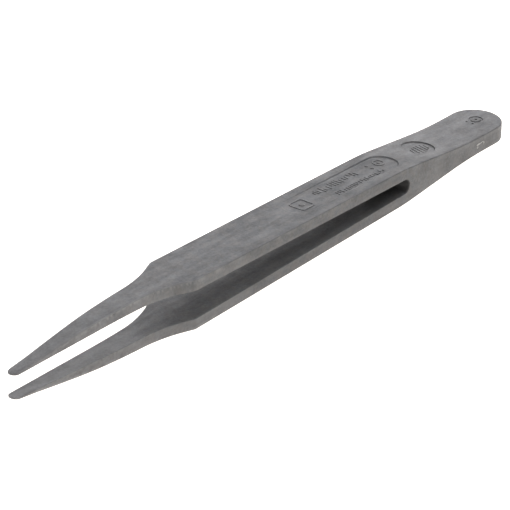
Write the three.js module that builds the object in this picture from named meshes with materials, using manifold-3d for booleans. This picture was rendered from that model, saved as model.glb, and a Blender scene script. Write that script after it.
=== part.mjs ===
// Flat plastic tweezers: one moulding of two spring arms that join in a solid tail.
//
// The moulding is drawn in its own frame, in millimetres: X runs from the tips (0) to the end of the
// tail, Y across the width, and Z out of the outer faces, with the plane between the arms at Z = 0.
// It is then laid down on the flat outer face of its lower arm, centred over the origin.
//
// The moulding is divided into named zones where its work changes: the tail that joins the arms, the
// flexure of each arm, the grip that a finger presses, and the blade that holds the work.

import * as THREE from "three";
import { mergeVertices } from "three/addons/utils/BufferGeometryUtils.js";
import Module from "manifold-3d";

// ---- Driving dimensions -------------------------------------------------------------------------

const LENGTH = 115;
const WIDTH = 8.8; // of the arms and the tail

// Outline seen from above.
const TIP_WIDTH = 1.9; // full-round end
const NECK = { x: 29.5, width: 4.36, radius: 21 }; // where the blade starts to flare
const SHOULDER = { x: 34.8, radius: 1.4 }; // where the flare reaches full width

// Outer faces seen from the side, as heights above the plane between the arms.
const TIP_OUTER = 2;
const TIP_EDGE_RADIUS = 0.15;
const CREST = { x: 17.9, height: 4.36, radius: 160 }; // blade line meets handle line
const OUTER_SLOPE = 0.019; // fall of the handle's outer face per millimetre towards the tail
const TAPER_START_X = 85.7; // a plain corner, so that the flat to rest on ends at one clean edge
const TAPER_END = { x: 103, radius: 95 };
const TAIL_THICKNESS = 2.8;

// Inner faces seen from the side.
const TIP_INNER = 1.76;
const INNER_CREST = { x: 23.6, height: 2.52, radius: 200 };
const INNER_SLOPE = 0.021;
const SLOT_END = 87; // full-round end of the slot between the arms

// Shallow recesses in the upper outer face. The label recess gets deeper towards the tail, by its
// fall per millimetre, and its depth is the one at its middle.
const LABEL_RECESS = { from: 61.7, to: 87.8, width: 5.4, depth: 0.14, fall: 0.009 };
const ROUND_RECESS = { x: 95, diameter: 5.5, depth: 0.19 };

// Planes that divide the moulding, each a thin saw cut.
const ROOT_PLANE = 85.85; // tail to flexures
const PAD_PLANE = 61; // flexures to grips
const NECK_PLANE = 28; // grips to blades
const CUT = 0.3;

const ARC_STEPS = 8; // fineness of each rounded corner
const MARGIN = 5; // how far cutting tools run past the moulding

// ---- Outlines -----------------------------------------------------------------------------------

// A closed outline through corners [x, y, radius]; a corner without a radius stays sharp.
function roundedOutline(corners) {
  const outline = new THREE.Shape();
  corners.forEach(([x, y, radius = 0], i) => {
    const corner = new THREE.Vector2(x, y);
    const before = new THREE.Vector2(...corners.at(i - 1)).sub(corner).normalize();
    const after = new THREE.Vector2(...corners[(i + 1) % corners.length]).sub(corner).normalize();
    const half = Math.acos(before.dot(after)) / 2;
    const reach = radius / Math.tan(half);
    const start = before.clone().multiplyScalar(reach).add(corner);
    if (i === 0) outline.moveTo(start.x, start.y);
    else outline.lineTo(start.x, start.y);
    if (!radius) return;
    const end = after.clone().multiplyScalar(reach).add(corner);
    const centre = before.clone().add(after).setLength(radius / Math.sin(half)).add(corner);
    const from = start.sub(centre).angle();
    const to = end.sub(centre).angle();
    outline.absarc(centre.x, centre.y, radius, from, to, before.cross(after) > 0);
  });
  outline.closePath();
  return outline;
}

// The corners of one half followed by the same corners mirrored in y, back to front.
function mirrored(half) {
  const other = half.map(([x, y, radius]) => [x, -y, radius]).reverse();
  return [...half, ...other];
}

function stadium(length, width) {
  const reach = (length - width) / 2;
  const outline = new THREE.Shape();
  outline.absarc(reach, 0, width / 2, -Math.PI / 2, Math.PI / 2);
  outline.absarc(-reach, 0, width / 2, Math.PI / 2, (3 * Math.PI) / 2);
  outline.closePath();
  return outline;
}

function outlineFromAbove() {
  const nearlyFull = 0.99; // a round end keeps a hair of flat between its two corners
  return roundedOutline(
    mirrored([
      [0, TIP_WIDTH / 2, (nearlyFull * TIP_WIDTH) / 2],
      [NECK.x, NECK.width / 2, NECK.radius],
      [SHOULDER.x, WIDTH / 2, SHOULDER.radius],
      [LENGTH, WIDTH / 2, (nearlyFull * WIDTH) / 2],
    ]),
  );
}

function outlineFromTheSide() {
  return roundedOutline(
    mirrored([
      [0, TIP_OUTER, TIP_EDGE_RADIUS],
      [CREST.x, CREST.height, CREST.radius],
      [TAPER_START_X, outerHeight(TAPER_START_X)],
      [TAPER_END.x, TAIL_THICKNESS / 2, TAPER_END.radius],
      [LENGTH, TAIL_THICKNESS / 2],
    ]),
  );
}

function outlineOfSlot() {
  const mouthSlope = (INNER_CREST.height - TIP_INNER) / INNER_CREST.x;
  const endHeight = INNER_CREST.height - INNER_SLOPE * (SLOT_END - INNER_CREST.x);
  return roundedOutline(
    mirrored([
      [-MARGIN, TIP_INNER - MARGIN * mouthSlope],
      [INNER_CREST.x, INNER_CREST.height, INNER_CREST.radius],
      [SLOT_END, endHeight, 0.98 * endHeight],
    ]),
  );
}

// Height of the handle's flat outer face above the plane between the arms.
function outerHeight(x) {
  return CREST.height - OUTER_SLOPE * (x - CREST.x);
}

// ---- Solids -------------------------------------------------------------------------------------

const wasm = await Module();
wasm.setup();

function solidOf(geometry) {
  const bare = geometry.clone();
  bare.deleteAttribute("normal");
  bare.deleteAttribute("uv");
  const merged = mergeVertices(bare);
  return new wasm.Manifold(
    new wasm.Mesh({
      numProp: 3,
      vertProperties: new Float32Array(merged.attributes.position.array),
      triVerts: new Uint32Array(merged.index.array),
    }),
  );
}

function geometryOf(solid) {
  const { vertProperties, triVerts } = solid.getMesh();
  const geometry = new THREE.BufferGeometry();
  geometry.setAttribute("position", new THREE.BufferAttribute(vertProperties, 3));
  geometry.setIndex(new THREE.BufferAttribute(triVerts, 1));
  geometry.computeVertexNormals();
  return geometry;
}

function extruded(outline, depth) {
  return new THREE.ExtrudeGeometry(outline, { depth, bevelEnabled: false, curveSegments: ARC_STEPS });
}

// An outline drawn in X and Y, pushed through the whole height.
function throughHeight(outline) {
  const height = CREST.height * 2 + MARGIN;
  return solidOf(extruded(outline, height).translate(0, 0, -height / 2));
}

// An outline drawn in X and Z, pushed through the given width.
function throughWidth(outline, width) {
  return solidOf(extruded(outline, width).rotateX(Math.PI / 2).translate(0, width / 2, 0));
}

// The cutting tool of a shallow recess: it stands on the recess floor, which is at the given slope.
function recessTool(outline, x, faceHeight, depth, floorSlope) {
  const tool = extruded(outline, MARGIN).translate(0, 0, -depth);
  return solidOf(tool.rotateY(Math.atan(floorSlope)).translate(x, 0, faceHeight));
}

function labelRecess() {
  const { from, to, width, depth, fall } = LABEL_RECESS;
  const middle = (from + to) / 2;
  return recessTool(stadium(to - from, width), middle, outerHeight(middle), depth, OUTER_SLOPE + fall);
}

function roundRecess() {
  const { x, diameter, depth } = ROUND_RECESS;
  const startHeight = outerHeight(TAPER_START_X);
  const slope = (startHeight - TAIL_THICKNESS / 2) / (TAPER_END.x - TAPER_START_X);
  const height = startHeight - slope * (x - TAPER_START_X);
  const outline = new THREE.Shape().absarc(0, 0, diameter / 2, 0, 2 * Math.PI);
  return recessTool(outline, x, height, depth, slope);
}

function wholeMoulding() {
  return throughHeight(outlineFromAbove())
    .intersect(throughWidth(outlineFromTheSide(), WIDTH + MARGIN))
    .subtract(throughWidth(outlineOfSlot(), WIDTH + 2 * MARGIN))
    .subtract(labelRecess())
    .subtract(roundRecess());
}

// The part of the moulding between two X planes, on one side of the plane between the arms, or on
// both sides where side is 0.
function zone(moulding, from, to, side = 0) {
  const height = 2 * MARGIN;
  const slab = new THREE.BoxGeometry(to - from, WIDTH + MARGIN, side ? height : 2 * height);
  slab.translate((from + to) / 2, 0, (side * height) / 2);
  return moulding.intersect(solidOf(slab));
}

// ---- Assembly -----------------------------------------------------------------------------------

function conductivePlastic(shade) {
  return new THREE.MeshStandardMaterial({
    color: new THREE.Color(shade, shade, shade),
    roughness: 0.6,
    metalness: 0,
  });
}

function namedPart(name, solid) {
  const part = new THREE.Mesh(geometryOf(solid), conductivePlastic(0.2));
  part.name = name;
  return part;
}

const moulding = wholeMoulding();
const assembly = new THREE.Group();
assembly.add(namedPart("tail_block", zone(moulding, ROOT_PLANE + CUT / 2, LENGTH + MARGIN)));
for (const [arm, side] of [
  ["upper", 1],
  ["lower", -1],
]) {
  assembly.add(
    namedPart(`${arm}_flexure`, zone(moulding, PAD_PLANE + CUT / 2, ROOT_PLANE - CUT / 2, side)),
    namedPart(`${arm}_grip`, zone(moulding, NECK_PLANE + CUT / 2, PAD_PLANE - CUT / 2, side)),
    namedPart(`${arm}_blade`, zone(moulding, -MARGIN, NECK_PLANE - CUT / 2, side)),
  );
}

// Laid down on the lower arm: the flat outer face of its handle is level at Z = 0.
assembly.rotation.y = Math.atan(OUTER_SLOPE);
const tweezers = new THREE.Group().add(assembly);
tweezers.updateMatrixWorld(true);
const extent = new THREE.Box3().setFromObject(tweezers, true);
assembly.position.set(-(extent.min.x + extent.max.x) / 2, 0, -extent.min.z);

export default tweezers;
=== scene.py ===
import math

import bmesh
import bpy
import numpy as np
from mathutils import Matrix, Vector


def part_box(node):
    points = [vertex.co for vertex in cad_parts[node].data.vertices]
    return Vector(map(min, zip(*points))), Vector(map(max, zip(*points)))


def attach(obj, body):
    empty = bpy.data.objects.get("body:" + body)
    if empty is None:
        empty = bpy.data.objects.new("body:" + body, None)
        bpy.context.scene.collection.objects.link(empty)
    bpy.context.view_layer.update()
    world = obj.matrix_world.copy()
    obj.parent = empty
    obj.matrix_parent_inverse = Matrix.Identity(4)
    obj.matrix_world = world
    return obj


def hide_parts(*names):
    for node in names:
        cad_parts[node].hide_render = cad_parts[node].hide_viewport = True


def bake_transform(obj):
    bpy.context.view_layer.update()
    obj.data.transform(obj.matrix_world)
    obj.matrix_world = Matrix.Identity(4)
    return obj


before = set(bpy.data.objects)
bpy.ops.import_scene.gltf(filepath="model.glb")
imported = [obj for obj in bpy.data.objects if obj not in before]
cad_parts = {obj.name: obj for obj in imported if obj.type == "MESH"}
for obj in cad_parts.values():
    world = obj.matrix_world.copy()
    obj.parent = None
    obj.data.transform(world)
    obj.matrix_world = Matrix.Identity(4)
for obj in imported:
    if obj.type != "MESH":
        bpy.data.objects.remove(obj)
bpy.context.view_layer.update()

# ---- Driving dimensions --------------------------------------------------------------------------
# The moulding is drawn in its own frame, in millimetres: X runs from the tips (0) to the end of the
# tail, Y across the width, and Z out of the outer faces, with the plane between the arms at Z = 0.

MM = 0.001
LENGTH = 115.0
WIDTH = 8.8

# Outline seen from above: full-round tip, neck, shoulder, full-round tail.
TIP_WIDTH = 1.9
NECK_X, NECK_WIDTH, NECK_RADIUS = 29.5, 4.36, 21.0
SHOULDER_X, SHOULDER_RADIUS = 34.8, 1.4

# Outer faces seen from the side, as heights above the plane between the arms.
TIP_OUTER = 2.0
CREST_X, CREST_HEIGHT, CREST_RADIUS = 17.9, 4.36, 160.0
OUTER_SLOPE = 0.019
TAPER_START_X, TAPER_START_RADIUS = 85.7, 55.0
TAPER_END_X, TAPER_END_RADIUS = 103.0, 95.0
TAIL_THICKNESS = 2.8

# Inner faces seen from the side.
TIP_INNER = 1.76
INNER_CREST_X, INNER_CREST_HEIGHT, INNER_CREST_RADIUS = 23.6, 2.52, 200.0
INNER_SLOPE = 0.021
SLOT_END_X = 87.0

# Planes that divide the moulding into its zones.
ROOT_X = 85.85
PAD_X = 61.0
NECK_PLANE_X = 28.0

# Edge radii, and the largest share of an arm's thickness that they take up.
TIP_EDGE, BLADE_EDGE, HANDLE_EDGE, TAIL_EDGE = 0.42, 0.2, 0.15, 0.2
INNER_EDGE = 0.07
OUTER_EDGE_SHARE, INNER_EDGE_SHARE = 0.6, 0.3

# Shallow recesses in the upper outer face.
LABEL_FROM_X, LABEL_TO_X, LABEL_WIDTH = 61.7, 88.1, 5.4
LABEL_DEPTH = 0.1  # at the middle of its length
LABEL_FALL = 0.006  # extra depth per millimetre towards the tail
ROUND_X, ROUND_DIAMETER, ROUND_DEPTH = 95.0, 5.5, 0.19
LABEL_DRAFT, ROUND_DRAFT = 0.2, 0.12  # how far the foot of the wall stands in from its lip

# Small marks: raised ones on the recess floors, and a sunk one near the tail's end.
MARK_RISE = 0.09
MARK_DRAFT = 0.05
BADGE_X, BADGE_Y = 65.0, -0.1
ROUND_BARS = (  # place along x from the recess's middle, height
    (-1.7, 1.6), (-1.0, 2.2), (-0.3, 2.6), (0.4, 2.6), (1.1, 2.2), (1.8, 1.6),
)
END_MARK_DEPTH = 0.12
END_MARK_FROM_X, END_MARK_TO_X = 108.6, 112.6  # it lies between these

# Steps of the surface grid: along the moulding, and both ways where there is relief.
RELIEF_CELL = 0.07
RELIEF_HALF = 3.1  # the fine grid reaches this far to each side of the middle
RELIEF_MARGIN = 0.2  # and this far past the round recess
PLAIN_STEP, TAIL_STEP, BLADE_STEP, CURVED_STEP = 0.8, 0.6, 0.4, 0.3
TAIL_END_STEP, TIP_STEP, CORNER_STEP = 0.12, 0.1, 0.06
TIP_ROUND_X = 1.3  # the tip's round end lies before this
CORNER_FROM_X, CORNER_TO_X = 34.0, 35.4  # the shoulder's corner lies between these
NOTCH_END_X = SLOT_END_X + 1.4  # the tail's side walls are plain strips behind this

# Wear and painted light: 1 is a rubbed edge that is also painted lighter as a highlight, -1 is the
# painted shade at the slot's end.
CORNER_SHADE = 0.15  # painted shade in the corners of the relief
# painted shade in the slot between the arms
SLOT_SHADE = 0.3
# painted shade on the tail's side walls, which takes back the tail's painted sheen there
TAIL_SIDE_SHADE = 0.3
RIM_BAND_TO = 0.93  # where the lighter band along a face's edge ends, as a share of its half width; the band is rubbed and painted as a highlight
RIM_SHARE = 0.5  # rubbing and painted highlight of a face's rim and of the inner edges, as a share of the outer edges'


# ---- Rounded paths -------------------------------------------------------------------------------

class RoundedPath:
    """A path through corners (x, y, radius), with each inner corner rounded to its radius.

    It holds fine points, their right-hand normals and the distance along the path to each.
    """

    LINE_STEP = 0.4
    ARC_STEP, ARC_TURN = 0.16, math.radians(0.5)  # whichever is the finer

    def __init__(self, corners):
        spots = [Vector((x, y)) for x, y, _ in corners]
        points, normals = [], []
        start = spots[0]
        for before, corner, after, (_, _, radius) in zip(spots, spots[1:], spots[2:], corners[1:]):
            heading, leaving = (corner - before).normalized(), (after - corner).normalized()
            turn = math.atan2(heading.x * leaving.y - heading.y * leaving.x, heading.dot(leaving))
            reach = radius * math.tan(abs(turn) / 2)
            self._line(points, normals, start, corner - heading * reach)
            side = -math.copysign(1.0, turn)  # 1 where the path turns to its right
            centre = corner - heading * reach + self._right(heading) * radius * side
            steps = max(2, int(abs(turn) / self.ARC_TURN), int(abs(turn) * radius / self.ARC_STEP))
            for i in range(steps + 1):
                normal = self._right(heading)
                normal.rotate(Matrix.Rotation(turn * i / steps, 2))
                points.append(centre - normal * radius * side)
                normals.append(normal.copy())
            start = corner + leaving * reach
        self._line(points, normals, start, spots[-1])
        self.points = np.array(points)
        self.normals = np.array(normals)
        gaps = np.linalg.norm(np.diff(self.points, axis=0), axis=1)
        self.along = np.concatenate([[0.0], np.cumsum(gaps)])

    @staticmethod
    def _right(heading):
        return Vector((heading.y, -heading.x))

    def _line(self, points, normals, start, end):
        length = (end - start).length
        if length < 1e-9:
            return
        heading = (end - start) / length
        steps = max(1, int(length / self.LINE_STEP))
        for i in range(steps + 1):
            points.append(start.lerp(end, i / steps))
            normals.append(self._right(heading))

    def at(self, along):
        """Points and unit normals at these distances along the path."""
        points = np.stack([np.interp(along, self.along, self.points[:, k]) for k in (0, 1)], 1)
        normals = np.stack([np.interp(along, self.along, self.normals[:, k]) for k in (0, 1)], 1)
        return points, normals / np.linalg.norm(normals, axis=1, keepdims=True)

    def reach_x(self, x):
        """The distance along the path at which it gets to x, where x never falls along it."""
        return float(np.interp(x, self.points[:, 0], self.along))

    def height(self, x):
        """The path's second coordinate at x."""
        return np.interp(x, self.points[:, 0], self.points[:, 1])


def handle_height(x):
    """Height of the handle's flat outer face above the plane between the arms."""
    return CREST_HEIGHT - OUTER_SLOPE * (x - CREST_X)


def plan_outline():
    half_tip, half_width = TIP_WIDTH / 2, WIDTH / 2
    lean = math.atan((NECK_WIDTH / 2 - half_tip) / NECK_X)
    tip_radius = half_tip * math.cos(lean) / (1 - math.sin(lean))
    return RoundedPath([
        (0, 0, 0),
        (0, half_tip, tip_radius),
        (NECK_X, NECK_WIDTH / 2, NECK_RADIUS),
        (SHOULDER_X, half_width, SHOULDER_RADIUS),
        (LENGTH, half_width, half_width),
        (LENGTH, 0, 0),
    ])


def outer_profile():
    return RoundedPath([
        (0, TIP_OUTER, 0),
        (CREST_X, CREST_HEIGHT, CREST_RADIUS),
        (TAPER_START_X, handle_height(TAPER_START_X), TAPER_START_RADIUS),
        (TAPER_END_X, TAIL_THICKNESS / 2, TAPER_END_RADIUS),
        (LENGTH, TAIL_THICKNESS / 2, 0),
    ])


def slot_profile():
    end_height = INNER_CREST_HEIGHT - INNER_SLOPE * (SLOT_END_X - INNER_CREST_X)
    return RoundedPath([
        (0, TIP_INNER, 0),
        (INNER_CREST_X, INNER_CREST_HEIGHT, INNER_CREST_RADIUS),
        (SLOT_END_X, end_height, end_height),
        (SLOT_END_X, 0, 0),
    ])


PLAN, OUTER, SLOT = plan_outline(), outer_profile(), slot_profile()


def ramp(x, points):
    """A smooth run through (x, value) points, level before the first and after the last."""
    xs, values = zip(*points)
    spot = np.interp(x, xs, np.arange(len(xs)))
    lower = np.floor(spot)
    share = spot - lower
    eased = lower + share * share * (3 - 2 * share)
    return np.interp(eased, np.arange(len(xs)), values)


def thickness(x):
    return OUTER.height(x) - SLOT.height(x)


def outer_edge(x):
    """Radius of the outer long edges: widest near the tips, where the arm's thickness limits it."""
    radius = ramp(x, [
        (8, TIP_EDGE), (18, BLADE_EDGE), (36, HANDLE_EDGE), (85, HANDLE_EDGE), (100, TAIL_EDGE),
    ])
    return np.minimum(radius, OUTER_EDGE_SHARE * thickness(x))


def inner_edge(x):
    return np.minimum(INNER_EDGE, INNER_EDGE_SHARE * thickness(x))


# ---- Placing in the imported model's frame ---------------------------------------------------------

TILT = math.atan(OUTER_SLOPE)  # the moulding lies on the flat outer face of its lower arm


def laid_down():
    """The matrix from the moulding's frame, in millimetres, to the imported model's, in metres."""
    tail_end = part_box("tail_block")[1].x / MM
    turned_end = LENGTH * math.cos(TILT) + TAIL_THICKNESS / 2 * math.sin(TILT)
    lift = handle_height(0) * math.cos(TILT)
    shift = Matrix.Translation((tail_end - turned_end, 0, lift))
    return Matrix.Scale(MM, 4) @ shift @ Matrix.Rotation(TILT, 4, "Y")


PLACE = laid_down()


def placed(x, y=0.0, z=0.0):
    return PLACE @ Vector((x, y, z))


def arm_middle(x):
    """Height of the middle of an arm's thickness above the plane between the arms."""
    return float(OUTER.height(x) + SLOT.height(x)) / 2


# ---- Relief --------------------------------------------------------------------------------------

class Relief:
    """A raised or sunk area of an outer face.

    distance is a function of points (x, y), negative inside, and rise is the level inside. Its wear
    value says how much its high edge is rubbed and painted lighter as a highlight and how much
    painted shade lies in its low corner; draft is the width of its sloping wall. The level falls by
    fall for each millimetre past from_x.
    """

    def __init__(self, distance, rise, wear=1.0, draft=MARK_DRAFT, fall=0.0, from_x=0.0):
        self.distance, self.rise, self.wear, self.draft = distance, rise, wear, draft
        self.fall, self.from_x = fall, from_x

    def level(self, x):
        return self.rise - self.fall * (x - self.from_x)


def capsule(x_from, x_to, width):
    """A round-ended area along the middle of the face."""
    def distance(p):
        nearest = np.clip(p[:, 0], x_from + width / 2, x_to - width / 2)
        return np.hypot(p[:, 0] - nearest, p[:, 1]) - width / 2
    return distance


def upright_bar(x, y, width, height, lean):
    """A round-ended bar across the length, leaning by lean millimetres over its height."""
    half = (height - width) / 2
    foot, head = np.array([x - lean / 2, y - half]), np.array([x + lean / 2, y + half])

    def distance(p):
        axis = head - foot
        share = np.clip((p - foot) @ axis / (axis @ axis), 0, 1)
        return np.linalg.norm(p - foot - share[:, None] * axis, axis=1) - width / 2
    return distance


def disc(x, y, radius):
    return lambda p: np.hypot(p[:, 0] - x, p[:, 1] - y) - radius


def ring(x, y, radius, stroke):
    return lambda p: np.abs(np.hypot(p[:, 0] - x, p[:, 1] - y) - radius) - stroke / 2


def square_frame(x, y, half, corner, stroke):
    def distance(p):
        out = np.abs(p - (x, y)) - (half - corner)
        outside = np.hypot(*np.maximum(out, 0).T)
        return np.abs(outside + np.minimum(out.max(axis=1), 0) - corner) - stroke / 2
    return distance


def ring_and_dots(x, y, radius, stroke, centre, dots, dot_radius):
    """A ring round a small disc, and more discs at the places in dots."""
    around = [disc(*dot, dot_radius) for dot in dots]
    return [ring(x, y, radius, stroke), disc(x, y, centre), *around]


def mark_row(x_from, x_to, y, height, pitch, stroke, seed):
    """A row of bars of uneven height and lean, as busy as small print but spelling nothing."""
    random = np.random.default_rng(seed)
    bars = []
    x = x_from
    while x < x_to:
        tall = height * random.uniform(0.4, 1)
        width = stroke * random.uniform(0.8, 1.25)
        lean = random.uniform(-0.6, 0.6) * stroke
        drift = random.uniform(-0.5, 0.5) * (height - tall)
        bars.append(upright_bar(x, y + drift, width, max(tall, 1.5 * width), lean))
        x += pitch * random.uniform(0.85, 1.45)
    return bars


def label_relief():
    """The label recess with its marks: a framed dot, two rows of bars, and a ring with dots."""
    outline = capsule(LABEL_FROM_X, LABEL_TO_X, LABEL_WIDTH)
    middle = (LABEL_FROM_X + LABEL_TO_X) / 2
    recess = Relief(
        outline, -LABEL_DEPTH, wear=0.0, draft=LABEL_DRAFT, fall=LABEL_FALL, from_x=middle
    )
    marks = [
        square_frame(BADGE_X, BADGE_Y, half=1.45, corner=0.5, stroke=0.3),
        disc(BADGE_X, BADGE_Y, radius=0.5),
        *ring_and_dots(
            x=85.2, y=0.5, radius=0.9, stroke=0.3, centre=0.3,
            dots=[(82.9, 0.0), (82.9, 1.1)], dot_radius=0.3,
        ),
        *mark_row(69.4, 80.2, y=0.8, height=1.9, pitch=0.6, stroke=0.27, seed=3),
        *mark_row(71.9, 83.4, y=-1.7, height=1.15, pitch=0.5, stroke=0.23, seed=4),
    ]
    return [recess] + [Relief(shape, MARK_RISE) for shape in marks]


def round_relief():
    """The round recess with its leaning bars, and the sunk ring with dots near the tail's end."""
    outline = disc(ROUND_X, 0, ROUND_DIAMETER / 2)
    recess = Relief(outline, -ROUND_DEPTH, wear=0.0, draft=ROUND_DRAFT)
    bars = [
        upright_bar(ROUND_X + x, y=-0.3, width=0.4, height=height, lean=0.5)
        for x, height in ROUND_BARS
    ]
    end_mark = ring_and_dots(
        x=111.0, y=0.1, radius=1.0, stroke=0.36, centre=0.26,
        dots=[(109.3, -0.5), (109.3, 0.7)], dot_radius=0.24,
    )
    return (
        [recess]
        + [Relief(bar, MARK_RISE) for bar in bars]
        + [Relief(shape, -END_MARK_DEPTH) for shape in end_mark]
    )


def carve(points, features):
    """Pulls grid points, in place, onto the lips and feet of the features.

    Returns each point's level and its wear and painted light: above 0 on a rubbed edge that is also
    painted lighter as a highlight, below 0 in a corner with painted shade.
    """
    level, wear = np.zeros(len(points)), np.zeros(len(points))
    nudge = 1e-4
    for feature in features:
        gap = feature.distance(points)
        slopes = [
            (feature.distance(points + step) - gap) / nudge for step in ((nudge, 0), (0, nudge))
        ]
        gradient = np.stack(slopes, 1)
        lip = np.abs(gap) < RELIEF_CELL / 2
        foot = np.abs(gap + max(feature.draft, RELIEF_CELL)) < RELIEF_CELL / 2
        points[lip] -= gap[lip, None] * gradient[lip]
        points[foot] -= (gap[foot] + feature.draft)[:, None] * gradient[foot]
        high, low = (foot, lip) if feature.rise > 0 else (lip, foot)
        # the high edge is rubbed and painted lighter as a highlight, the low corner gets painted
        # shade
        wear[high], wear[low] = feature.wear, -CORNER_SHADE * feature.wear
        down_the_wall = np.clip(-feature.distance(points) / feature.draft, 0, 1)
        level += feature.level(points[:, 0]) * down_the_wall
    return level, wear


# ---- Mesh building -------------------------------------------------------------------------------

OUTER_FILLET_STEPS, INNER_FILLET_STEPS = 5, 4
SIDE_STEPS = 3
SLOT_ROUND_STEPS = 21  # from an inner face to the deepest line of the slot's end
MERGE_WITHIN = 0.0008  # millimetres
SHARP_ANGLE = math.radians(32)  # edges that turn more than this stay sharp
NORMAL_WEIGHT = 60  # how far the shading follows the larger faces


def quads(index):
    """The quads of a grid of vertex numbers."""
    corners = [index[:-1, :-1], index[1:, :-1], index[1:, 1:], index[:-1, 1:]]
    return np.stack(corners, -1).reshape(-1, 4)


def split_on_levels(faces, level):
    """Splits a quad that straddles a relief edge along the diagonal that stays level."""
    step = 0.01  # a smaller difference in level is no edge
    first = np.abs(level[faces[:, 0]] - level[faces[:, 2]])
    second = np.abs(level[faces[:, 1]] - level[faces[:, 3]])
    keep = [tuple(f) for f in faces[np.abs(first - second) < step]]
    for a, b, c, d in faces[first <= second - step]:
        keep += [(a, b, c), (a, c, d)]
    for a, b, c, d in faces[second <= first - step]:
        keep += [(a, b, d), (b, c, d)]
    return keep


def columns(middle):
    """Positions across a face, from -1 at its left edge to 1 at its right edge."""
    return np.concatenate([[-1, -RIM_BAND_TO], middle, [RIM_BAND_TO, 1]])


def relief_columns():
    """The same with fine steps in the middle, where the relief is."""
    fine_to = RELIEF_HALF / (WIDTH / 2 - HANDLE_EDGE)
    count = int(round(2 * RELIEF_HALF / RELIEF_CELL))
    return columns(np.linspace(-fine_to, fine_to, count + 1))


PLAIN = columns(np.linspace(-0.75, 0.75, 7))
FINE = relief_columns()


def rows(spans):
    """Distances along the plan outline to grid rows, for spans of (x from, x to, step)."""
    found = []
    for x_from, x_to, step in spans:
        start, end = PLAN.reach_x(x_from), PLAN.reach_x(x_to)
        if x_to >= LENGTH:
            end = PLAN.along[-1]
        found.append(np.linspace(start, end, max(2, int(math.ceil((end - start) / step)) + 1)))
    return np.unique(np.round(np.concatenate(found), 6))


def edge_wear(x):
    """How much the outer long edges are rubbed and painted lighter as a highlight: most on the blades
    and the flare.
    """
    return ramp(x, [(6, 0.5), (14, 1.0), (36, 1.0), (44, 0.45), (72, 0.4), (84, 0.0)])


def side_wear(x):
    """How much the side walls are rubbed: most about the shoulders."""
    return ramp(x, [(22, 0.0), (28, 0.22), (44, 0.22), (54, 0.0)])


def tail_side_wear(wall):
    """Painted shade on the side walls of the tail, clear of the edges, which takes back the tail's
    painted sheen there; wall is a grid of points.
    """
    wear = ramp(wall[..., 0], [(89, 0.0), (95, -TAIL_SIDE_SHADE), (LENGTH, -TAIL_SIDE_SHADE)])
    wear[:, [0, -1]] = 0
    return wear


def inner_wear(x):
    """Tone of the inner faces: lighter on the blades towards the tips, and painted shade in the slot.
    """
    return ramp(x, [
        (2, 0.5), (12, 0.35), (24, 0.25), (34, 0), (48, 0),
        (62, -SLOT_SHADE), (ROOT_X, -SLOT_SHADE), (ROOT_X + 0.6, -1),
    ])


def quarter_turn(steps):
    """Angles of a rounded edge's rows, from the face to the wall."""
    return np.linspace(0, math.pi / 2, steps + 1)


def skin(along, across, features=()):
    """The outer skin of one side: its outer face and rounded edges, from side wall to side wall.

    Returns its points as a grid (row, column), the level of each and its wear and painted light.
    """
    rim, normal = PLAN.at(along)
    radius = outer_edge(rim[:, 0])
    inner_rim = rim + normal * radius[:, None]
    count = len(across)
    face = np.stack(
        [np.repeat(inner_rim[:, :1], count, 1), inner_rim[:, 1:] * across[None, :]], -1
    ).reshape(-1, 2)
    level, wear = carve(face, features)
    height = OUTER.height(face[:, 0]) + level
    middle = np.concatenate([face, height[:, None]], 1).reshape(len(along), count, 3)
    level, wear = (values.reshape(len(along), count) for values in (level, wear))

    def edge(sign):
        bend = quarter_turn(OUTER_FILLET_STEPS)[1:]
        into = radius[:, None] * (1 - np.sin(bend))[None, :]
        drop = radius[:, None] * (1 - np.cos(bend))[None, :]
        x = rim[:, :1] + normal[:, :1] * into
        y = (rim[:, 1:] + normal[:, 1:] * into) * sign
        z = OUTER.height(x) - drop
        return np.stack([x, y, z], -1)

    left, right = edge(-1)[:, ::-1], edge(1)
    grid = np.concatenate([left, middle, right], 1)
    level_edge = np.zeros((len(along), OUTER_FILLET_STEPS))
    # the rounded edges are rubbed and painted lighter as a highlight
    rubbed_and_highlight = np.repeat(edge_wear(rim[:, :1]), OUTER_FILLET_STEPS, 1)
    wear[:, [0, -1]] = RIM_SHARE * rubbed_and_highlight[:, :1]
    return (
        grid,
        np.concatenate([level_edge, level, level_edge], 1),
        np.concatenate([rubbed_and_highlight, wear, rubbed_and_highlight], 1),
    )


def underside(along, across):
    """The inner face of an arm with its small rounded edges: a grid of points, and their wear and
    painted light.
    """
    rim, normal = PLAN.at(along)
    radius = inner_edge(rim[:, 0])
    bend = quarter_turn(INNER_FILLET_STEPS)
    into = radius[:, None] * (1 - np.sin(bend))[None, :]
    rise = radius[:, None] * (1 - np.cos(bend))[None, :]
    x = rim[:, :1] + normal[:, :1] * into
    y = rim[:, 1:] + normal[:, 1:] * into
    right = np.stack([x, y, SLOT.height(x) + rise], -1)
    left = right * np.array([1, -1, 1])
    inner_x, inner_y = x[:, :1], y[:, :1]
    middle_x = np.repeat(inner_x, len(across) - 2, 1)
    middle = np.stack([middle_x, inner_y * across[None, 1:-1], SLOT.height(middle_x)], -1)
    rubbed_and_highlight = np.repeat(RIM_SHARE * edge_wear(rim[:, :1]), len(bend), 1)
    wear = np.concatenate([rubbed_and_highlight, inner_wear(middle_x), rubbed_and_highlight], 1)
    return np.concatenate([left[:, ::-1], middle, right], 1), wear


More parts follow.
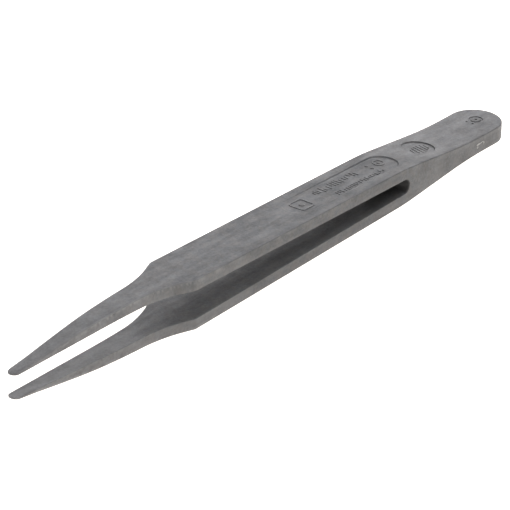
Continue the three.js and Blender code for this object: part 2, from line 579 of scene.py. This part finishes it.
class Sheet:
    """Collects the grids and faces of one piece, in the moulding's frame."""

    def __init__(self):
        self.points, self.faces, self.wear, self.count = [], [], [], 0

    def add(self, grid, wear=0.0):
        """Adds a grid of points and returns their numbers in the same arrangement."""
        number = np.arange(grid[..., 0].size).reshape(grid.shape[:-1]) + self.count
        self.points.append(grid.reshape(-1, 3))
        self.wear.append(np.broadcast_to(wear, grid.shape[:-1]).reshape(-1))
        self.count += number.size
        return number

    def weave(self, number, level=None):
        """Fills a grid of numbers with quads, split along relief edges where levels are given."""
        faces = quads(number)
        if level is None:
            self.faces += [tuple(f) for f in faces]
            return
        levels = np.zeros(self.count)
        levels[number.reshape(-1)] = level.reshape(-1)
        self.faces += split_on_levels(faces, levels)

    def face(self, loop):
        """Adds a flat face round a loop of points."""
        self.faces.append(tuple(self.add(loop[None])[0]))

    def build(self, name, side, material):
        """The finished object; side is -1 for the mirror image below the plane between the arms."""
        points = np.concatenate(self.points) * np.array([1, 1, side])
        turn = np.array(PLACE.to_3x3())
        points = points @ turn.T + np.array(PLACE.translation)
        mesh = bpy.data.meshes.new(name)
        mesh.from_pydata(points.tolist(), [], [tuple(map(int, f)) for f in self.faces])
        # wear and painted light and shade for the material: lighter on rubbed edges and painted
        # highlights, darker in painted shade
        wear = mesh.attributes.new("wear", "FLOAT", "POINT")
        wear.data.foreach_set("value", np.concatenate(self.wear).astype(np.float32))
        tidy_mesh(mesh)
        mesh.materials.append(material)
        piece = bpy.data.objects.new(name, mesh)
        bpy.context.scene.collection.objects.link(piece)
        even = piece.modifiers.new("even_normals", "WEIGHTED_NORMAL")
        even.keep_sharp = True
        even.weight = NORMAL_WEIGHT
        return piece


def tidy_mesh(mesh):
    """Merges points that meet, drops faces with no area and points every face outwards."""
    work = bmesh.new()
    work.from_mesh(mesh)
    bmesh.ops.remove_doubles(work, verts=work.verts, dist=MERGE_WITHIN * MM)
    bmesh.ops.dissolve_degenerate(work, edges=work.edges, dist=MERGE_WITHIN / 2 * MM)
    bmesh.ops.triangulate(work, faces=[f for f in work.faces if len(f.verts) > 4])
    bmesh.ops.recalc_face_normals(work, faces=work.faces)
    work.to_mesh(mesh)
    work.free()
    mesh.shade_smooth()
    mesh.set_sharp_from_angle(angle=SHARP_ANGLE)


def side_wall(top, bottom):
    """Grid points between two rows of points, top and bottom included."""
    share = np.linspace(0, 1, SIDE_STEPS + 1)[None, :, None]
    return top[:, None] * (1 - share) + bottom[:, None] * share


def arm_piece(name, side, spans, material, features=(), across=PLAIN, closed_tip=False):
    """One zone of an arm: a closed bar between two planes, or from the tip to a plane."""
    along = rows(spans)
    grid, level, wear = skin(along, across, features)
    under, under_wear = underside(along, PLAIN)
    sheet = Sheet()
    sheet.weave(sheet.add(grid, wear), level)
    sheet.weave(sheet.add(under, under_wear))
    for column in (0, -1):
        wall = side_wall(grid[:, column], under[:, column])
        sheet.weave(sheet.add(wall, side_wear(wall[..., 0])))
    cap_ends(sheet, grid, under, closed_tip)
    return sheet.build(name, side, material)


def cap_ends(sheet, grid, under, closed_tip):
    """Flat caps over a bar's ends: over the skin, down one wall, back under and up the other."""
    for row in ((-1,) if closed_tip else (0, -1)):
        right = side_wall(grid[[row], -1], under[[row], -1])[0, 1:-1]
        left = side_wall(grid[[row], 0], under[[row], 0])[0, 1:-1]
        sheet.face(np.concatenate([grid[row], right, under[row][::-1], left[::-1]]))


# ---- Materials -----------------------------------------------------------------------------------

class Nodes:
    """Short ways to add and join the nodes of a material."""

    def __init__(self, name):
        self.material = bpy.data.materials.new(name)
        self.material.use_nodes = True
        self.tree = self.material.node_tree
        self.shader = self.tree.nodes["Principled BSDF"]
        self.place = self.add("ShaderNodeTexCoord").outputs["Object"]

    def add(self, kind, **settings):
        node = self.tree.nodes.new(kind)
        for key, value in settings.items():
            setattr(node, key, value)
        return node

    def join(self, source, target):
        self.tree.links.new(source, target)

    def stretched(self, scale):
        """Object coordinates multiplied by scale: repeats per metre along each axis."""
        node = self.add("ShaderNodeMapping")
        node.inputs["Scale"].default_value = scale
        self.join(self.place, node.inputs["Vector"])
        return node.outputs["Vector"]

    def noise(self, scale, detail=3.0, rough=0.5, vector=None):
        node = self.add("ShaderNodeTexNoise")
        node.inputs["Scale"].default_value = scale
        node.inputs["Detail"].default_value = detail
        node.inputs["Roughness"].default_value = rough
        self.join(vector or self.place, node.inputs["Vector"])
        return node.outputs["Fac"]

    def spread(self, value, low, high, low_out, high_out):
        """Maps the run from low to high onto the run from low_out to high_out, and stops there."""
        node = self.add("ShaderNodeMapRange")
        run = {"From Min": low, "From Max": high, "To Min": low_out, "To Max": high_out}
        for key, number in run.items():
            node.inputs[key].default_value = number
        self.join(value, node.inputs["Value"])
        return node.outputs["Result"]

    def maths(self, operation, first, second):
        node = self.add("ShaderNodeMath", operation=operation)
        for socket, value in zip(node.inputs, (first, second)):
            if isinstance(value, (int, float)):
                socket.default_value = value
            else:
                self.join(value, socket)
        return node.outputs[0]

    def weighted_sum(self, *terms):
        """The sum of (value, weight) terms."""
        total, *others = [self.maths("MULTIPLY", value, weight) for value, weight in terms]
        for other in others:
            total = self.maths("ADD", total, other)
        return total

    def blend(self, share, first, second):
        """The first colour, with this share of it replaced by the second."""
        node = self.add("ShaderNodeMix", data_type="RGBA")
        by_identifier = {socket.identifier: socket for socket in (*node.inputs, *node.outputs)}
        sockets = [by_identifier[name] for name in ("Factor_Float", "A_Color", "B_Color")]
        for socket, value in zip(sockets, (share, first, second)):
            if isinstance(value, (int, float)):
                socket.default_value = value
            elif isinstance(value, tuple):
                socket.default_value = (*value, 1.0)
            else:
                self.join(value, socket)
        return by_identifier["Result_Color"]

    def bump(self, height, strength, distance, below=None):
        node = self.add("ShaderNodeBump")
        node.inputs["Strength"].default_value = strength
        node.inputs["Distance"].default_value = distance
        self.join(height, node.inputs["Height"])
        if below:
            self.join(below, node.inputs["Normal"])
        return node.outputs["Normal"]


def grey(level, warmth=0.0):
    """A grey as linear light; warmth above 0 leans to red, below 0 to blue."""
    return (level * (1 + warmth), level, level * (1 - warmth))


PLASTIC_LEVEL = 0.084  # mean reflectance of the moulded skin
MOTTLE = 0.34  # share by which the skin's tone goes up and down
CLOUD_SHARE, FLOW_SHARE, SPECKLE_SHARE = 0.4, 0.14, 0.46  # what each pattern adds to the tone
COOL, WARM = -0.04, 0.045
PALER_TIPS, TAIL_SHEEN = 0.66, 0.3  # share of a colour twice as pale; on the tail it is a painted sheen
NEAR_SIDE_SHADE = 0.15  # share of black, painted over the near side as shade
RUBBED_AND_HIGHLIGHT_SHARE, SHADE_SHARE = 0.75, 0.8  # share of the rubbed colour, also a painted highlight, at 1 and of the painted shade at -1
RUBBED_AND_HIGHLIGHT_LEVEL, SHADE_LEVEL = 2.4, 0.3  # reflectance of the rubbed and highlight colour and of the painted shade against the skin's

# Noise patterns, in repeats per metre.
CLOUDS, FLOW, SPECKLE, PATCHES = 360, 1000, 2300, 700
RUB_AND_HIGHLIGHT_PATCHES, SCUFFS, WAVES, GRAIN = 260, 900, 1400, 6500
TORN, FLOOR_MOTTLE = 3200, 30


def moulded_plastic():
    """Carbon-filled plastic: dark grey, clouded, finely grained and rubbed in places, with painted
    highlights, painted shade and a painted sheen on the tail.
    """
    n = Nodes("carbon_filled_plastic")
    clouds = n.noise(CLOUDS)
    flow = n.noise(FLOW, rough=0.6, vector=n.stretched((0.4, 1.0, 1.0)))
    speckle = n.noise(SPECKLE, detail=4, rough=0.65)
    tone = n.weighted_sum((clouds, CLOUD_SHARE), (flow, FLOW_SHARE), (speckle, SPECKLE_SHARE))
    tone = n.spread(tone, 0.34, 0.66, 0, 1)
    dark, light = (1 - MOTTLE) * PLASTIC_LEVEL, (1 + MOTTLE) * PLASTIC_LEVEL
    cool = n.blend(tone, grey(dark, COOL), grey(light, COOL))
    warm = n.blend(tone, grey(dark, WARM), grey(light, WARM))
    colour = n.blend(n.spread(n.noise(PATCHES), 0.42, 0.6, 0, 0.8), cool, warm)

    place = n.add("ShaderNodeSeparateXYZ")
    n.join(n.place, place.inputs[0])
    paler_tips = n.spread(place.outputs["X"], placed(38).x, placed(2).x, 0, PALER_TIPS)
    # a painted sheen on the tail
    tail_sheen = n.spread(place.outputs["X"], placed(84).x, placed(93).x, 0, TAIL_SHEEN)
    paler = n.blend(tone, grey(2 * dark), grey(2 * light))
    colour = n.blend(n.maths("ADD", paler_tips, tail_sheen), colour, paler)
    # painted shade over the near side
    half_width = WIDTH / 2 * MM
    near_side_shade = n.spread(place.outputs["Y"], -half_width, half_width, NEAR_SIDE_SHADE, 0)
    colour = n.blend(near_side_shade, colour, grey(0))

    # rubbed edges and mark lips, painted lighter as highlights, and painted shade in the slot, the
    # relief's corners and the tail's side walls
    wear = n.add("ShaderNodeAttribute", attribute_name="wear").outputs["Fac"]
    patchy = n.spread(n.noise(RUB_AND_HIGHLIGHT_PATCHES, rough=0.55), 0.35, 0.65, 0.45, 1)
    rubbed_and_highlight = n.maths("MULTIPLY", n.spread(wear, 0, 1, 0, RUBBED_AND_HIGHLIGHT_SHARE), patchy)
    colour = n.blend(rubbed_and_highlight, colour, grey(RUBBED_AND_HIGHLIGHT_LEVEL * PLASTIC_LEVEL))
    painted_shade = n.spread(wear, 0, -1, 0, SHADE_SHARE)
    colour = n.blend(painted_shade, colour, grey(SHADE_LEVEL * PLASTIC_LEVEL))
    n.join(colour, n.shader.inputs["Base Color"])

    scuffs = n.noise(SCUFFS, rough=0.6, vector=n.stretched((0.12, 1.0, 1.0)))
    matt, scuffed = n.spread(tone, 0, 1, 0.6, 0.5), n.spread(scuffs, 0.4, 0.6, -0.04, 0.05)
    n.join(n.maths("ADD", matt, scuffed), n.shader.inputs["Roughness"])
    n.shader.inputs["IOR"].default_value = 1.5

    grain = n.bump(n.noise(GRAIN, rough=0.6), strength=0.35, distance=0.03 * MM)
    waves = n.noise(WAVES, rough=0.55)
    waves = n.bump(waves, strength=0.35, distance=0.05 * MM, below=grain)
    relief = n.bump(scuffs, strength=0.12, distance=0.02 * MM, below=waves)
    n.join(relief, n.shader.inputs["Normal"])
    return n.material


def torn_plastic():
    """The same plastic where the gate was cut off: paler and rougher."""
    n = Nodes("torn_plastic")
    torn = n.noise(TORN, detail=5, rough=0.7)
    dark, pale = (0.16, 0.16, 0.155), (0.42, 0.42, 0.40)
    n.join(n.blend(n.spread(torn, 0.35, 0.65, 0, 1), dark, pale), n.shader.inputs["Base Color"])
    n.join(n.spread(torn, 0.3, 0.7, 0.6, 0.8), n.shader.inputs["Roughness"])
    n.join(n.bump(torn, strength=0.8, distance=0.1 * MM), n.shader.inputs["Normal"])
    return n.material


def floor_white():
    """A plain white sweep that also glows, so that no shadow shows on it."""
    n = Nodes("floor_white")
    mottle = n.spread(n.noise(FLOOR_MOTTLE), 0.3, 0.7, 0, 1)
    n.join(n.blend(mottle, grey(0.5), grey(0.54)), n.shader.inputs["Base Color"])
    n.shader.inputs["Roughness"].default_value = 0.9
    n.shader.inputs["Specular IOR Level"].default_value = 0.2
    n.shader.inputs["Emission Color"].default_value = (*FLOOR_GLOW_TINT, 1)
    n.shader.inputs["Emission Strength"].default_value = FLOOR_GLOW
    return n.material


# ---- Pieces --------------------------------------------------------------------------------------

def tail_piece(material):
    """The solid tail: skins above and below, side walls notched by the slot, and the slot's end."""
    round_reach = ROUND_DIAMETER / 2 + RELIEF_MARGIN
    along = rows([
        (ROOT_X, NOTCH_END_X, RELIEF_CELL),
        (NOTCH_END_X, ROUND_X - round_reach, CURVED_STEP),
        (ROUND_X - round_reach, ROUND_X + round_reach, RELIEF_CELL),
        (ROUND_X + round_reach, END_MARK_FROM_X, TAIL_STEP),
        (END_MARK_FROM_X, END_MARK_TO_X, RELIEF_CELL),
        (END_MARK_TO_X, LENGTH, TAIL_END_STEP),
    ])
    above, level, wear = skin(along, FINE, label_relief() + round_relief())
    below, _, wear_below = skin(along, PLAIN)
    below = below * np.array([1, 1, -1])
    sheet = Sheet()
    sheet.weave(sheet.add(above, wear), level)
    sheet.weave(sheet.add(below, wear_below))
    notch_row = int(np.searchsorted(along, PLAN.reach_x(NOTCH_END_X) - 1e-6))

    slot = slot_end()
    clear_of_rims = np.abs(slot[..., 1]) < (1 + RIM_BAND_TO) / 2 * (WIDTH / 2 - INNER_EDGE)
    # painted shade over the slot's end, clear of its rims
    sheet.weave(sheet.add(slot, inner_wear(slot[..., 0]) * clear_of_rims))
    for column in (0, -1):
        wall = side_wall(above[notch_row:, column], below[notch_row:, column])
        # painted shade on the tail's side walls
        sheet.weave(sheet.add(wall, tail_side_wear(wall)))
        sheet.face(np.concatenate([
            above[: notch_row + 1, column],
            wall[0, 1:-1],
            below[notch_row::-1, column],
            slot[::-1, column],
        ]))
    for skin_grid, slot_row in ((above, slot[0]), (below, slot[-1])):
        sheet.face(np.concatenate([skin_grid[0], slot_row[::-1]]))
    return sheet.build("tail_moulding", 1, material)


def slot_end():
    """The round end of the slot as a strip from the upper prong to the lower one, edge to edge."""
    start = SLOT.reach_x(ROOT_X)
    half, inward = SLOT.at(np.linspace(start, SLOT.along[-1], SLOT_ROUND_STEPS + 1))
    mirror = np.array([1, -1])
    path = np.concatenate([half, (half * mirror)[-2::-1]])
    into_plastic = -np.concatenate([inward, (inward * mirror)[-2::-1]])
    radius, half_width = INNER_EDGE, WIDTH / 2
    right = np.stack([
        np.concatenate([
            path + into_plastic * radius * (1 - math.cos(bend)),
            np.full((len(path), 1), half_width - radius * (1 - math.sin(bend))),
        ], 1)
        for bend in quarter_turn(INNER_FILLET_STEPS)
    ], 1)[:, :, [0, 2, 1]]
    left = (right * np.array([1, -1, 1]))[:, ::-1]
    middle = np.stack([
        np.stack([path[:, 0], np.full(len(path), y), path[:, 1]], 1)
        for y in PLAIN[1:-1] * (half_width - radius)
    ], 1)
    return np.concatenate([left, middle, right], 1)


def arms(material):
    """The zones of both arms, by the name of the node each replaces."""
    pieces = {}
    for arm, side in (("upper", 1), ("lower", -1)):
        pieces[f"{arm}_blade"] = arm_piece(
            f"{arm}_blade_moulding", side,
            [(0, TIP_ROUND_X, TIP_STEP), (TIP_ROUND_X, NECK_PLANE_X, BLADE_STEP)],
            material, closed_tip=True,
        )
        pieces[f"{arm}_grip"] = arm_piece(
            f"{arm}_grip_moulding", side, [
                (NECK_PLANE_X, CORNER_FROM_X, CURVED_STEP),
                (CORNER_FROM_X, CORNER_TO_X, CORNER_STEP),
                (CORNER_TO_X, PAD_X, PLAIN_STEP),
            ], material,
        )
    pieces["upper_flexure"] = arm_piece(
        "upper_flexure_moulding", 1, [(PAD_X, ROOT_X, RELIEF_CELL)], material,
        features=label_relief(), across=FINE,
    )
    pieces["lower_flexure"] = arm_piece(
        "lower_flexure_moulding", -1, [(PAD_X, ROOT_X, PLAIN_STEP)], material,
    )
    return pieces


def scar_blob(sheet, random, x, z, length, height, rise, lean=0.0):
    """A low torn blob on the near side wall: a closed pillow that leans by lean over its length."""
    long_rows, high_rows, smoothings = 37, 13, 2
    u, v = np.meshgrid(
        np.linspace(-1, 1, long_rows), np.linspace(-1, 1, high_rows), indexing="ij"
    )
    rough = random.normal(size=u.shape)
    for _ in range(smoothings):
        rough = sum(np.roll(rough, step, axis) for axis in (0, 1) for step in (-1, 0, 1)) / 6
    dome = np.sqrt(np.clip(1 - np.abs(u) ** 3 - np.abs(v) ** 2, 0, 1))
    swell = rise * dome * (0.8 + 0.5 * rough)
    taper = 1 - 0.45 * u
    buried = np.full(u.shape, 0.05)  # how far the back lies inside the tail
    back = np.stack([
        x + u * length / 2, buried - WIDTH / 2, z + v * taper * height / 2 + u * lean / 2,
    ], -1)
    front = back - np.stack([np.zeros(u.shape), buried + swell, np.zeros(u.shape)], -1)
    back_number, front_number = sheet.add(back), sheet.add(front)
    sheet.weave(back_number)
    sheet.weave(front_number)
    for pick in (np.s_[0, :], np.s_[-1, :], np.s_[:, 0], np.s_[:, -1]):
        sheet.weave(np.stack([back_number[pick], front_number[pick]], 0))


def gate_vestige(material):
    """The torn scar where the moulding's gate was cut off: a thin streak, a blob at each end."""
    random = np.random.default_rng(7)
    sheet = Sheet()
    scar_blob(sheet, random, x=105.9, z=0.3, length=1.8, height=0.24, rise=0.07, lean=0.16)
    scar_blob(sheet, random, x=105.3, z=-0.2, length=0.45, height=0.34, rise=0.06)
    scar_blob(sheet, random, x=106.97, z=0.1, length=0.3, height=0.5, rise=0.06)
    return sheet.build("gate_vestige", 1, material)


plastic = moulded_plastic()
tail = tail_piece(plastic)
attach(tail, "tail")
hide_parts("tail_block")

scar = gate_vestige(torn_plastic())
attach(scar, "tail")

for node, piece in arms(plastic).items():
    arm, zone = node.split("_")
    sign = 1 if arm == "upper" else -1
    if zone == "flexure":
        placed(ROOT_X, 0, sign * arm_middle(ROOT_X))
        placed(PAD_X, 0, sign * arm_middle(PAD_X))
        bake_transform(piece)
    else:
        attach(piece, f"{arm}_arm")
    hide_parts(node)


# ---- Camera, light and floor ---------------------------------------------------------------------

CAMERA_AZIMUTH = math.radians(-51.28)
CAMERA_ELEVATION = math.radians(27.94)
CAMERA_DISTANCE = 0.487
LENS, SENSOR = 229.0, 36.0
AIM_LEFT, AIM_DOWN = 2.229, 1.964  # millimetres by which the view's middle misses the moulding's

# Floor, in metres: it sweeps up into its wall, and lies a little below the face that rests on it.
FLOOR_RADIUS, SWEEP_RADIUS, WALL_TOP = 2.5, 0.2, 0.27
FLOOR_DROP = 0.00002
FLOOR_GLOW, FLOOR_GLOW_TINT = 1.42, (1.0, 0.95, 0.9)
SWEEP_STEP = 6  # degrees
FLOOR_SEGMENTS = 72

# Soft square lights, as (place, size, power), in metres and watts.
SOFTBOXES = {
    "key": ((0.3, -0.35, 1.0), 0.9, 7.4),
    "back": ((0.5, 0.6, 0.65), 0.9, 4.2),
    "end_light": ((0.8, 0.45, 0.3), 0.5, 1.5),
}
SOFTBOX_TINT = (0.98, 0.97, 1.0)
SURROUNDINGS = 0.3


def camera():
    """A long lens that looks down along the near side from beyond the tips."""
    a, e = CAMERA_AZIMUTH, CAMERA_ELEVATION
    back = Vector((math.sin(a) * math.cos(e), -math.cos(a) * math.cos(e), math.sin(e)))
    right = Vector((math.cos(a), math.sin(a), 0))
    up = back.cross(right)
    middle = placed(LENGTH / 2) - (right * AIM_LEFT + up * AIM_DOWN) * MM
    data = bpy.data.cameras.new("camera")
    data.lens, data.sensor_width = LENS, SENSOR
    data.clip_start, data.clip_end = 0.01, 20
    seen_from = bpy.data.objects.new("camera", data)
    seen_from.matrix_world = Matrix.Translation(middle + back * CAMERA_DISTANCE) @ Matrix(
        (right, up, back)
    ).transposed().to_4x4()
    bpy.context.scene.collection.objects.link(seen_from)
    bpy.context.scene.camera = seen_from


def floor():
    """A round floor that sweeps up into a low wall, so that no horizon shows from any side."""
    bends = [math.radians(angle) for angle in range(0, 91, SWEEP_STEP)]
    sweep = [
        (FLOOR_RADIUS + SWEEP_RADIUS * math.sin(bend), SWEEP_RADIUS * (1 - math.cos(bend)))
        for bend in bends
    ]
    wall_top = (FLOOR_RADIUS + SWEEP_RADIUS, WALL_TOP)
    work = bmesh.new()
    profile = [work.verts.new((r, 0, z - FLOOR_DROP)) for r, z in [(0, 0), *sweep, wall_top]]
    lines = [work.edges.new(pair) for pair in zip(profile, profile[1:])]
    bmesh.ops.spin(
        work, geom=profile + lines, axis=(0, 0, 1), cent=(0, 0, 0), angle=math.tau,
        steps=FLOOR_SEGMENTS, use_merge=True,
    )
    bmesh.ops.remove_doubles(work, verts=work.verts, dist=1e-6)
    bmesh.ops.recalc_face_normals(work, faces=work.faces)
    mesh = bpy.data.meshes.new("floor")
    work.to_mesh(mesh)
    work.free()
    mesh.shade_smooth()
    mesh.materials.append(floor_white())
    sweep_piece = bpy.data.objects.new("floor", mesh)
    bpy.context.scene.collection.objects.link(sweep_piece)


def softbox(name, place, size, power):
    """A square soft light at place, turned to the middle of the object."""
    data = bpy.data.lights.new(name, "AREA")
    data.size, data.energy, data.color = size, power, SOFTBOX_TINT
    light = bpy.data.objects.new(name, data)
    light.location = place
    light.rotation_euler = (-Vector(place)).to_track_quat("-Z", "Y").to_euler()
    bpy.context.scene.collection.objects.link(light)


def surroundings():
    """Even white light from all round."""
    world = bpy.data.worlds.new("studio")
    world.use_nodes = True
    background = world.node_tree.nodes["Background"]
    background.inputs["Color"].default_value = (1, 1, 1, 1)
    background.inputs["Strength"].default_value = SURROUNDINGS
    bpy.context.scene.world = world


camera()
floor()
surroundings()
for box_name, (spot, box_size, box_power) in SOFTBOXES.items():
    softbox(box_name, spot, box_size, box_power)
bpy.context.scene.view_settings.view_transform = "Standard"
